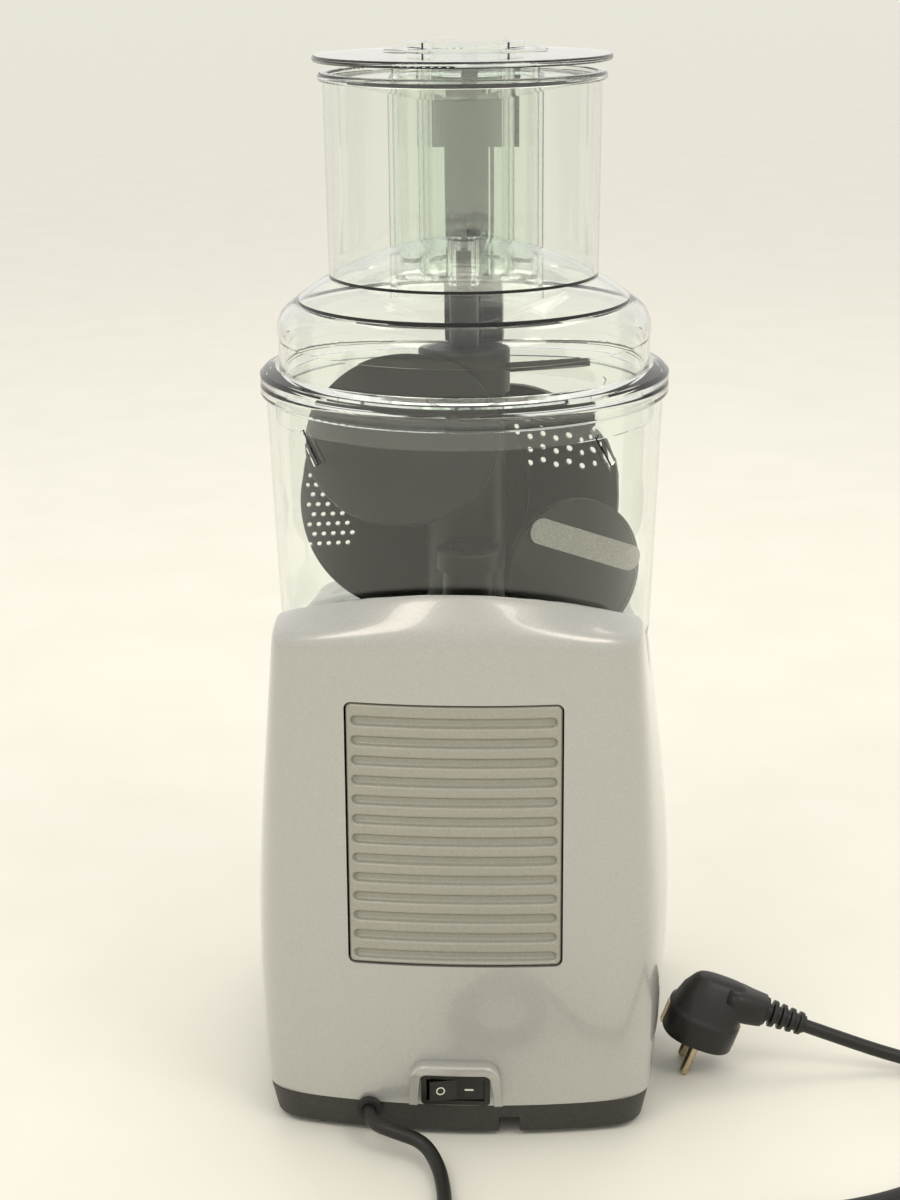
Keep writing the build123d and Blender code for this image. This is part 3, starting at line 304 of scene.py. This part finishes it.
def roundedLine(corners, steps=6, closed=True):
    # Outline of (a, b, radius) corners with each corner rounded by an arc of that radius.
    line = []
    count = len(corners)
    for i, (x, y, radius) in enumerate(corners):
        p = np.array((x, y), float)
        if radius <= 0 or (not closed and i in (0, count - 1)):
            line.append(p)
            continue
        a = np.array(corners[i - 1][:2], float) - p
        b = np.array(corners[(i + 1) % count][:2], float) - p
        la, lb = np.linalg.norm(a), np.linalg.norm(b)
        a, b = a / la, b / lb
        half = math.acos(max(-1, min(1, float(a @ b)))) / 2
        cut = min(radius / math.tan(half), 0.49 * la, 0.49 * lb)
        radius = cut * math.tan(half)
        centre = p + (a + b) / np.linalg.norm(a + b) * radius / math.sin(half)
        start, end = p + a * cut - centre, p + b * cut - centre
        a0 = math.atan2(start[1], start[0])
        turn = (math.atan2(end[1], end[0]) - a0 + math.pi) % (2 * math.pi) - math.pi
        for k in range(steps + 1):
            t = a0 + turn * k / steps
            line.append(centre + radius * np.array((math.cos(t), math.sin(t))))
    return np.array(line)


def smoothStep(value):
    t = np.clip(value, 0, 1)
    return t * t * (3 - 2 * t)


plugSet = {"radius": 19.0, "axisX": -120.0, "axisY": 55.0, "tilt": 20.0, "lift": 18.25, "neckHeight": 25.0,
           "neckReach": 28.0, "reliefLength": 22.0, "ribs": 4}


def plugPoints(s, points):
    # From the plug's own frame, pins down -Z and lead along -X, to the shared one.
    a = math.radians(s["tilt"])
    x = points[..., 0] * math.cos(a) - points[..., 2] * math.sin(a) + s["axisX"]
    z = points[..., 0] * math.sin(a) + points[..., 2] * math.cos(a) + s["lift"]
    return np.stack([x, points[..., 1] + s["axisY"], z], axis=-1) * mm


def stationSolid(name, stations, axis, power, finish, replaced, steps=64):
    # Superellipse sections (position, half a, half b, centre shift) joined along an axis, with closed ends.
    t = np.linspace(0, 2 * np.pi, steps, endpoint=False)[None, :]
    along, a, b, shift = (np.array([row[k] for row in stations])[:, None] for k in range(4))
    size = (np.abs(np.cos(t)) ** power + np.abs(np.sin(t)) ** power) ** (-1 / power)
    u, v, w = a * size * np.cos(t) + shift, b * size * np.sin(t), along + 0 * t
    points = np.stack([u, v, w], axis=-1) if axis == "z" else np.stack([-w, v, u], axis=-1)
    flat = plugPoints(plugSet, points).reshape(-1, 3)
    n = len(stations)
    faces = gridFaces(n, steps, False, True).tolist()
    faces += [list(range(steps)), list(range(n * steps - 1, (n - 1) * steps - 1, -1))]
    return meshPiece(name, flat.tolist(), faces, finish, "base", replaced)


def makePlug(s):
    r = s["radius"]
    body = [(0.0, r - 1.2, r - 1.2, 0), (0.4, r - 0.4, r - 0.4, 0), (1.2, r, r, 0), (13.0, r, r, 0),
            (14.2, r - 0.2, r - 0.3, 0), (15.0, r - 1.0, r - 1.2, 0), (16.5, r - 1.2, r - 2.0, -0.4),
            (24.0, 17.0, 13.0, -1.2), (31.0, 14.6, 8.0, -2.2), (33.0, 13.4, 6.2, -2.6), (34.0, 11.6, 4.6, -2.8),
            (34.4, 9.0, 2.8, -2.8)]
    stationSolid("plug_shell", body, "z", 2.6, finishes["pvc"], ["plug_body"])
    h = s["neckHeight"] - 0.5
    neck = [(6.0, 8.6, 11.0, h), (14.0, 8.8, 11.0, h), (20.0, 8.4, 9.6, h), (25.0, 8.0, 8.6, h + 0.3),
            (s["neckReach"] - 0.6, 7.8, 8.0, h + 0.5), (s["neckReach"], 7.2, 7.4, h + 0.5)]
    stationSolid("plug_neck", neck, "x", 3.0, finishes["pvc"], [])
    # ribs: the sleeve's radius swings between core and rib and narrows towards the lead
    u = np.linspace(0, 1, 90)
    taper = 7.4 - 1.6 * u
    swing = smoothStep(0.5 + 1.6 * np.cos(2 * np.pi * (u * (s["ribs"] + 0.5))))
    radius = 4.6 + (taper - 4.6) * swing
    relief = [(s["neckReach"] + s["reliefLength"] * a, b, b, s["neckHeight"]) for a, b in zip(u, radius)]
    stationSolid("plug_sleeve", relief, "x", 2.0, finishes["pvc"], ["plug_relief"], 40)


makePlug(plugSet)
print("plug done")


leadSet = {"diameter": 7.0, "outerTurn": 41.0, "pitch": 7.2, "exitRadius": 37.5, "turns": 2 + 150 / 360,
           "coilX": -30.0, "coilY": 266.0, "lying": 3.6, "crossing": 10.7}
# the route in mm, from the gland to the coil and from the coil round to the plug
leadRoute = [(42.5, 132.0, 15.0), (42.0, 144.5, 14.6), (28.0, 152.0, 13.6), (14.0, 155.0, 10.5),
             (6.0, 167.5, 4.8), (2.0, 189.5, 3.6), (0.0, 216.0, 3.6), (6.5, 242.0, 3.6), (10.0, 256.0, 3.6)]
tailRoute = [(-76.0, 261.5, 10.4), (-90.0, 239.5, 5.2), (-101.0, 224.0, 3.6), (-137.0, 199.5, 3.6),
             (-184.0, 193.5, 3.6), (-228.0, 169.5, 3.6), (-257.0, 126.0, 3.6), (-266.0, 86.0, 3.6),
             (-250.0, 60.5, 3.8), (-222.0, 55.5, 8.2), (-195.5, 55.0, 17.0), (-175.55, 55.0, 24.27)]


def coilTurns(s):
    # A flat spiral inwards, r = outer - pitch * turn, whose last part climbs and leaves over the others.
    turn = np.linspace(0, s["turns"], int(s["turns"] * 22))
    leaving = np.clip((turn - 2) / (s["turns"] - 2), 0, 1)
    leaving = leaving * leaving * (3 - 2 * leaving)
    spiral = s["outerTurn"] - s["pitch"] * np.minimum(turn, 2)
    r = spiral + (s["exitRadius"] - spiral) * leaving
    climb = np.clip((turn - 1.93) / 0.17, 0, 1)
    z = s["lying"] + (s["crossing"] - s["lying"]) * climb * climb * (3 - 2 * climb)
    angle = 2 * np.pi * turn
    return np.stack([s["coilX"] + r * np.cos(angle), s["coilY"] + r * np.sin(angle), z], axis=-1).tolist()


def routeCurve(name, points, radius, finish):
    curve = bpy.data.curves.new(name, "CURVE")
    curve.dimensions = "3D"
    curve.bevel_depth = radius
    curve.bevel_resolution = 5
    curve.resolution_u = 8
    curve.use_fill_caps = True
    spline = curve.splines.new("NURBS")
    spline.points.add(len(points) - 1)
    flat = [c for p in points for c in (p[0] * mm, p[1] * mm, p[2] * mm, 1.0)]
    spline.points.foreach_set("co", flat)
    spline.order_u = 3
    spline.use_endpoint_u = True
    piece = bpy.data.objects.new(name, curve)
    scene.collection.objects.link(piece)
    curve.materials.append(finish)
    return piece


route = leadRoute + coilTurns(leadSet) + tailRoute
mainsLead = routeCurve("mains_lead", route, leadSet["diameter"] / 2 * mm, finishes["pvc"])
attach(mainsLead, "base")
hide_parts("cord_lead", "cord_coil", "cord_tail")
print("mains lead done")


# lengths in mm from the bowl's axis; the four values of a width or reach belong to the four levels
casingSet = {"halfWidth": (98.0, 105.0, 93.0, 87.0), "rearHalf": (94.5, 92.0, 88.5, 85.5),
             "rear": (116.0, 114.5, 112.0, 110.9), "front": (118.0, 120.0, 115.0, 111.0),
             "levels": (18.0, 100.0, 222.0, 280.0),
             "sideBow": 5.0, "rearBow": 12.0, "frontBow": 14.0, "cornerPower": 14.0,
             "well": 98.5, "wellFade": 8.0, "slope": 0.64, "slopeStart": 11.0, "crest": 277.0,
             "ridge": 257.0, "ridgeSag": 5.0, "archRadius": 170.0, "archCentre": 106.5,
             "wall": 3.0, "shaftHole": 19.0, "columns": 288, "rows": 170, "rounding": 7,
             "ventCut": (103.0, 132.0, 3.5), "switchCut": (31.0, 14.4, 1.0), "buttonCut": 10.4, "glandCut": 4.9,
             "cutY": 114.0, "buttonY": -118.0, "glandY": 112.0}


def throughLevels(s, key, z):
    # Cubic through the four levels' values.
    return np.polyval(np.polyfit(s["levels"], s[key], 3), z)


def rearFace(s, x, z):
    return throughLevels(s, "rear", z) - s["rearBow"] * (x / (throughLevels(s, "halfWidth", z) - 5)) ** 2


def plainRadius(s, t, z):
    # Distance from the bowl's axis to the side wall: 1/r^p = 1/rx^p + 1/ry^p over the two faces met.
    half, rear, front = (throughLevels(s, k, z) for k in ("halfWidth", "rear", "front"))
    c, d = np.abs(np.cos(t)) + 1e-6, np.abs(np.sin(t)) + 1e-6
    behind = np.sin(t) > 0
    r = np.minimum(half / c, np.where(behind, rear, front) / d)
    for step in range(3):
        x, y = r * np.cos(t), r * np.sin(t)
        narrower = (half - throughLevels(s, "rearHalf", z)) * np.clip(y / rear, 0, 1) ** 2
        bowed = s["sideBow"] * np.clip(-y / front, 0, 1) ** 2
        rx = (half - narrower - bowed) / c
        bow = np.minimum(1.2, (x / (half - 5)) ** 2)
        ry = np.where(behind, rear - s["rearBow"] * bow, front - s["frontBow"] * bow) / d
        r = (rx ** -s["cornerPower"] + ry ** -s["cornerPower"]) ** (-1 / s["cornerPower"])
    return r


def humpHeight(s, x, y):
    # Top of the hump: the slope, under an arch at the bowl that turns into a flat ridge at the rear.
    arch = s["archCentre"] + np.sqrt(np.maximum(s["archRadius"] ** 2 - x ** 2, 1))
    ridge = s["ridge"] - s["ridgeSag"] * (x / 85) ** 2
    edge = np.sqrt(np.maximum(s["well"] ** 2 - x ** 2, 1))
    t = np.clip((y - edge) / np.maximum(rearFace(s, x, s["ridge"]) - edge, 4), 0, 1)
    top = np.minimum(s["crest"], arch + (ridge - arch) * t)
    slope = s["levels"][2] + s["slope"] * (y - s["slopeStart"])
    return np.clip(np.minimum(top, slope), s["levels"][2], None)


def casingProfile(s, t):
    # One section through the bowl's axis at angle t: wall, top, well and platform, evenly spaced and rounded.
    platformZ = s["levels"][2]
    z = 250.0
    for step in range(6):
        r = plainRadius(s, t, z)
        z = float(humpHeight(s, r * np.cos(t), r * np.sin(t)))
    fade = np.clip((r - s["well"] - 1) / s["wellFade"], 0, 1)
    fade = fade * fade * (3 - 2 * fade)
    z = platformZ + (z - platformZ) * fade
    wallZ = np.linspace(s["levels"][0], z, 60)
    wallR = plainRadius(s, t, wallZ)
    edge = wallR[-1]
    inner = min(s["well"], edge - 0.5)
    topR = np.linspace(edge, inner, 20)
    topZ = platformZ + (humpHeight(s, topR * np.cos(t), topR * np.sin(t)) - platformZ) * fade
    r = np.concatenate([wallR, topR, [inner, s["shaftHole"]]])
    z = np.concatenate([wallZ, topZ, [platformZ, platformZ]])
    run = np.concatenate([[0], np.cumsum(np.hypot(np.diff(r), np.diff(z)) + 1e-9)])
    even = np.linspace(0, run[-1], s["rows"])
    r, z = np.interp(even, run, r), np.interp(even, run, z)
    for step in range(s["rounding"]):
        r[1:-1] = (r[:-2] + 2 * r[1:-1] + r[2:]) / 4
        z[1:-1] = (z[:-2] + 2 * z[1:-1] + z[2:]) / 4
    return r, z


def casingShell(s):
    # The profile carried round the axis, x = r cos t, y = r sin t, and its copy one wall further in.
    t = np.linspace(0, 2 * np.pi, s["columns"], endpoint=False)
    sections = [casingProfile(s, angle) for angle in t]
    r = np.array([a for a, b in sections])
    z = np.array([b for a, b in sections])
    outer = np.stack([r * np.cos(t)[:, None], r * np.sin(t)[:, None], z], axis=-1)
    along = np.roll(outer, -1, 0) - np.roll(outer, 1, 0)
    up = np.gradient(outer, axis=1)
    normal = np.cross(along, up)
    normal /= np.linalg.norm(normal, axis=-1, keepdims=True) + 1e-12
    inner = outer - normal * s["wall"]
    inner[:, 0, 2] = s["levels"][0]
    ring = np.concatenate([outer, inner[:, ::-3]], axis=1)
    ring[..., 1] += axisY / mm
    return ring.reshape(-1, 3) * mm, gridFaces(s["columns"], ring.shape[1], True, True)


def outlinePrism(name, outline, depth, place):
    # A closed prism of an (x, z) outline in mm that runs along Y, kept as a cutter.
    n = len(outline)
    points = [(x * mm + place[0], place[1] + side * depth * mm / 2, z * mm + place[2])
              for side in (-1, 1) for x, z in outline]
    faces = [list(range(n)), list(range(2 * n - 1, n - 1, -1))]
    faces += [[k, n + k, n + (k + 1) % n, (k + 1) % n] for k in range(n)]
    mesh = bpy.data.meshes.new(name)
    mesh.from_pydata(points, [], faces)
    tidyMesh(mesh)
    piece = bpy.data.objects.new(name, mesh)
    scene.collection.objects.link(piece)
    return piece


def roundedRectangle(width, height, corner):
    a, b = width / 2, height / 2
    return roundedLine([(a, b, corner), (-a, b, corner), (-a, -b, corner), (a, -b, corner)])


def circleOutline(radius):
    t = np.linspace(0, 2 * np.pi, 40, endpoint=False)
    return np.stack([radius * np.cos(t), radius * np.sin(t)], axis=-1)


def cutAway(piece, cutters):
    # Takes the cutters out of the piece and keeps the result as its mesh.
    for cutter in cutters:
        cut = piece.modifiers.new("cut", "BOOLEAN")
        cut.operation = "DIFFERENCE"
        cut.solver = "EXACT"
        cut.object = cutter
    bpy.context.view_layer.update()
    result = bpy.data.meshes.new_from_object(piece.evaluated_get(bpy.context.evaluated_depsgraph_get()))
    piece.modifiers.clear()
    piece.data = result
    for cutter in cutters:
        bpy.data.objects.remove(cutter)
    result.polygons.foreach_set("use_smooth", [True] * len(result.polygons))
    result.set_sharp_from_angle(angle=math.radians(42))


def makeCasing(s):
    points, faces = casingShell(s)
    casing = meshPiece("casing_shell", points.tolist(), faces.tolist(), finishes["pearl"], "base",
                       ["casing"])
    holes = [("vent", roundedRectangle(*s["ventCut"]), 40, 0.0, s["cutY"], ventMiddle),
             ("switch", roundedRectangle(*s["switchCut"]), 40, 0.0, s["cutY"], middle("switch_bezel").z)]
    for name in ("pulse_button", "on_button", "stop_button"):
        holes.append((name, circleOutline(s["buttonCut"]), 60, middle(name).x, s["buttonY"], middle(name).z))
    gland = middle("cord_gland")
    holes.append(("gland", circleOutline(s["glandCut"]), 30, gland.x, s["glandY"], gland.z))
    cutAway(casing, [outlinePrism(name + "_cut", outline, depth, (x, axisY + y * mm, z))
                     for name, outline, depth, x, y, z in holes])


ventMiddle = (92.0 + 131.0 / 2) * mm         # the grille stands 131 mm tall on a line at 92 mm
makeCasing(casingSet)
print("casing done")


ventSet = {"width": 102.0, "height": 131.0, "corner": 3.0, "rows": 13, "pitch": 9.8, "slotHalf": 46.0,
           "slotRadius": 2.1, "depth": 2.6, "soft": 1.5, "rim": 0.9, "cell": 0.55, "drop": 3.5, "shift": -2.0}


def makeVent(s):
    # A height field over the rear face: y = rear(x, z) - groove - rim, grooves as sunk round-ended lines.
    nx, nz = int(s["width"] / s["cell"]), int(s["height"] / s["cell"])
    x = np.linspace(-s["width"] / 2, s["width"] / 2, nx)[None, :]
    z = np.linspace(-s["height"] / 2, s["height"] / 2, nz)[:, None]
    row = np.clip(np.round((z - s["shift"]) / s["pitch"]), -(s["rows"] // 2), s["rows"] // 2)
    past = np.maximum(np.abs(x) - s["slotHalf"], 0)
    off = np.hypot(past, z - s["shift"] - row * s["pitch"]) - s["slotRadius"]
    groove = s["depth"] * smoothStep(0.5 - off / s["soft"])
    ax, az = np.abs(x) - s["width"] / 2 + s["corner"], np.abs(z) - s["height"] / 2 + s["corner"]
    border = np.hypot(np.maximum(ax, 0), np.maximum(az, 0)) + np.minimum(np.maximum(ax, az), 0) - s["corner"]
    rim = s["drop"] * smoothStep(1 + (border + 0.15) / s["rim"]) ** 3
    high = ventMiddle / mm + z
    face = rearFace(casingSet, x + 0 * z, high + 0 * x) - groove - rim
    back = rearFace(casingSet, x + 0 * z, high + 0 * x) - s["drop"] - 1.5
    front = np.stack([x + 0 * z, face + axisY / mm, high + 0 * x], axis=-1)
    rear = np.stack([x + 0 * z, back + axisY / mm, high + 0 * x], axis=-1)
    points = np.concatenate([front.reshape(-1, 3), rear.reshape(-1, 3)])
    sheet = gridFaces(nz, nx)
    count = nz * nx
    edge = np.concatenate([np.arange(nx), np.arange(1, nz) * nx + nx - 1,
                           (nz - 1) * nx + np.arange(nx - 2, -1, -1), np.arange(nz - 2, 0, -1) * nx])
    after = np.roll(edge, -1)
    sides = np.stack([edge, edge + count, after + count, after], axis=-1)
    faces = np.concatenate([sheet, sheet[:, ::-1] + count, sides])
    return meshPiece("vent_grille", (points * mm).tolist(), faces.tolist(), finishes["satin"], "base",
                     ["vent_panel"])


makeVent(ventSet)
print("vent grille done")


visorSet = {"half": 23.0, "top": 42.5, "bottom": 17.5, "corner": 8.0, "band": 4.2, "topBand": 5.4, "proud": 8.0,
            "foot": 0.6, "leanIn": 1.5, "edge": 0.22, "sink": 0.4}


def makeVisor(s):
    # An arch carried along its outline; its band stands out further towards the top.
    upper = s["half"] - s["leanIn"]
    line = roundedLine([(-s["half"], s["bottom"], 0), (-upper, s["top"], s["corner"]),
                        (upper, s["top"], s["corner"]), (s["half"], s["bottom"], 0)], 12, closed=False)
    run = np.concatenate([[0], np.cumsum(np.hypot(*np.diff(line, axis=0).T))])
    even = np.linspace(0, run[-1], 120)
    x, z = np.interp(even, run, line[:, 0]), np.interp(even, run, line[:, 1])
    tx, tz = np.gradient(x), np.gradient(z)
    size = np.hypot(tx, tz)
    nx, nz = tz / size, -tx / size
    rise = smoothStep((z - s["bottom"]) / (s["top"] - s["bottom"]))
    proud = s["foot"] + (s["proud"] - s["foot"]) * rise ** 0.8
    band = s["band"] + (s["topBand"] - s["band"]) * rise
    # cross-section: (inward share of the band, share of the stand-out), rounded at the outer edges
    section = roundedLine([(0, -0.6, 0), (0, 1, s["edge"]), (1, 1, s["edge"]), (1, -0.6, 0)], 8)
    inward, out = section[:, 0][None, :], section[:, 1][None, :]
    px = x[:, None] + nx[:, None] * inward * band[:, None]
    pz = z[:, None] + nz[:, None] * inward * band[:, None]
    base = rearFace(casingSet, px, pz)
    py = base + out * proud[:, None] - s["sink"]
    points = np.stack([px, py + axisY / mm, pz], axis=-1)
    n, m = points.shape[:2]
    faces = gridFaces(n, m, False, True).tolist()
    faces += [list(range(m)), list(range(n * m - 1, (n - 1) * m - 1, -1))]
    points = points.reshape(-1, 3) * mm
    return meshPiece("switch_visor", points.tolist(), faces, finishes["pearl"], "base")


makeVisor(visorSet)


# the rocker's pin, its tilt and the shallow V of its face, then the two marks on it, in mm
markSet = {"pinY": 113.0, "pivot": 3.0, "tilt": 7.0, "shift": 0.5, "hollow": 0.9, "end": 2.2, "reach": 13.2,
           "inner": 1.55, "outer": 2.1, "steps": 48, "bar": (4.4, 0.9, 0.4), "lift": 0.12, "proud": 0.06,
           "offX": 7.2, "onX": -6.6}


def makeMarks(s):
    # a ring and a bar of printed white, each standing just proud of the rocker's leaning face
    white = plainPlastic("printedWhite", "#E4E1D4", "#EDEADD", 0.4, 0.5, 1.0)
    t = np.linspace(0, 2 * np.pi, s["steps"], endpoint=False)
    corners = ((s["inner"], 0.0), (s["inner"], s["lift"]), (s["outer"], s["lift"]), (s["outer"], 0.0))
    ring = np.stack([np.stack([r * np.cos(t), lift + 0 * t, r * np.sin(t)], axis=-1) for r, lift in corners],
                    axis=1).reshape(-1, 3)
    outline = roundedRectangle(*s["bar"])
    m = len(outline)
    bar = np.concatenate([np.stack([outline[:, 0], np.full(m, lift), outline[:, 1]], axis=-1)
                          for lift in (0.0, s["lift"])])
    barFaces = [[k, (k + 1) % m, m + (k + 1) % m, m + k] for k in range(m)]
    barFaces += [list(range(m)), list(range(2 * m - 1, m - 1, -1))]
    for name, x, points, faces in (("mark_off", s["offX"], ring, gridFaces(s["steps"], 4, True, True).tolist()),
                                   ("mark_on", s["onX"], bar, barFaces)):
        turned = points.copy()
        turned[:, 1] = points[:, 1] + points[:, 0] * rockerFaceSlope(s, x) + rockerFaceHeight(s, x) + s["proud"]
        turned[:, 0] = points[:, 0] + x
        turned = turned * mm + np.array((0, axisY, middle("rocker").z))
        meshPiece(name, turned.tolist(), faces, white, "rocker", smooth=False)


def rockerFaceHeight(s, x):
    # Outer face of the tilted rocker in mm from the bowl's axis: hollow V turned about the pin.
    tilt = math.radians(s["tilt"])
    x = (x + s["shift"]) / math.cos(tilt)
    own = s["hollow"] + abs(x) * (s["end"] - s["hollow"]) / s["reach"]
    return s["pinY"] + (own + s["pivot"]) * math.cos(tilt) + x * math.sin(tilt)


def rockerFaceSlope(s, x):
    # the face's own lean, outwards to each end, plus the tilt
    return math.copysign((s["end"] - s["hollow"]) / s["reach"], x) + math.tan(math.radians(s["tilt"]))


makeMarks(markSet)
print("switch done")


floorSet = {"half": 60.0, "grainMm": 90.0}


def makeFloor(s):
    # one wide square of painted board, z = 0
    corners = [(-1, -1), (1, -1), (1, 1), (-1, 1)]
    mesh = bpy.data.meshes.new("floor")
    mesh.from_pydata([(x * s["half"], y * s["half"], 0.0) for x, y in corners], [], [[0, 1, 2, 3]])
    floor = bpy.data.objects.new("floor", mesh)
    scene.collection.objects.link(floor)
    # eggshell paint: even and pale, with a broad soft gloss
    mat, tree, bsdf, coords = startMaterial("eggshellPaint", {"IOR": 1.45})
    mottledColour(tree, bsdf, coords, "#ECEADF", "#EFEDE3", s["grainMm"])
    roughnessSpread(tree, bsdf, coords, 0.42, 0.5, s["grainMm"])
    mesh.materials.append(mat)


def areaLight(name, place, aim, size, power, colour):
    data = bpy.data.lights.new(name, "AREA")
    data.shape = "RECTANGLE"
    data.size, data.size_y = size
    data.energy = power
    data.color = linear(colour)[:3]
    light = bpy.data.objects.new(name, data)
    scene.collection.objects.link(light)
    direction = Vector(aim) - Vector(place)
    light.matrix_world = Matrix.Translation(place) @ direction.to_track_quat("-Z", "Y").to_matrix().to_4x4()


makeFloor(floorSet)
# an even room, two soft ceiling lights behind the machine and a wide one in front of it
lightSet = {"room": "#FFFDF8", "roomStrength": 0.92,
            "ceilingLeft": ((0.9, 1.3, 1.9), (0, 0, 0.2), (0.8, 0.8), 7, "#FFF8EC"),
            "ceilingRight": ((-1.1, 1.0, 1.9), (0, 0, 0.2), (0.8, 0.8), 7, "#FFF8EC"),
            "ceilingFront": ((0.0, -1.0, 2.0), (0, 0, 0.3), (1.6, 0.8), 8, "#FFF6E8")}
world = bpy.data.worlds.new("softRoom")
world.use_nodes = True
world.node_tree.nodes["Background"].inputs["Color"].default_value = linear(lightSet["room"])
world.node_tree.nodes["Background"].inputs["Strength"].default_value = lightSet["roomStrength"]
scene.world = world
for name in ("ceilingLeft", "ceilingRight", "ceilingFront"):
    areaLight(name, *lightSet[name])
scene.view_settings.view_transform = "Standard"
scene.cycles.max_bounces = 32            # the nested clear walls need long light paths
scene.cycles.transmission_bounces = 32
scene.cycles.transparent_max_bounces = 32
print("stage and lights done")

bpy.context.view_layer.update()
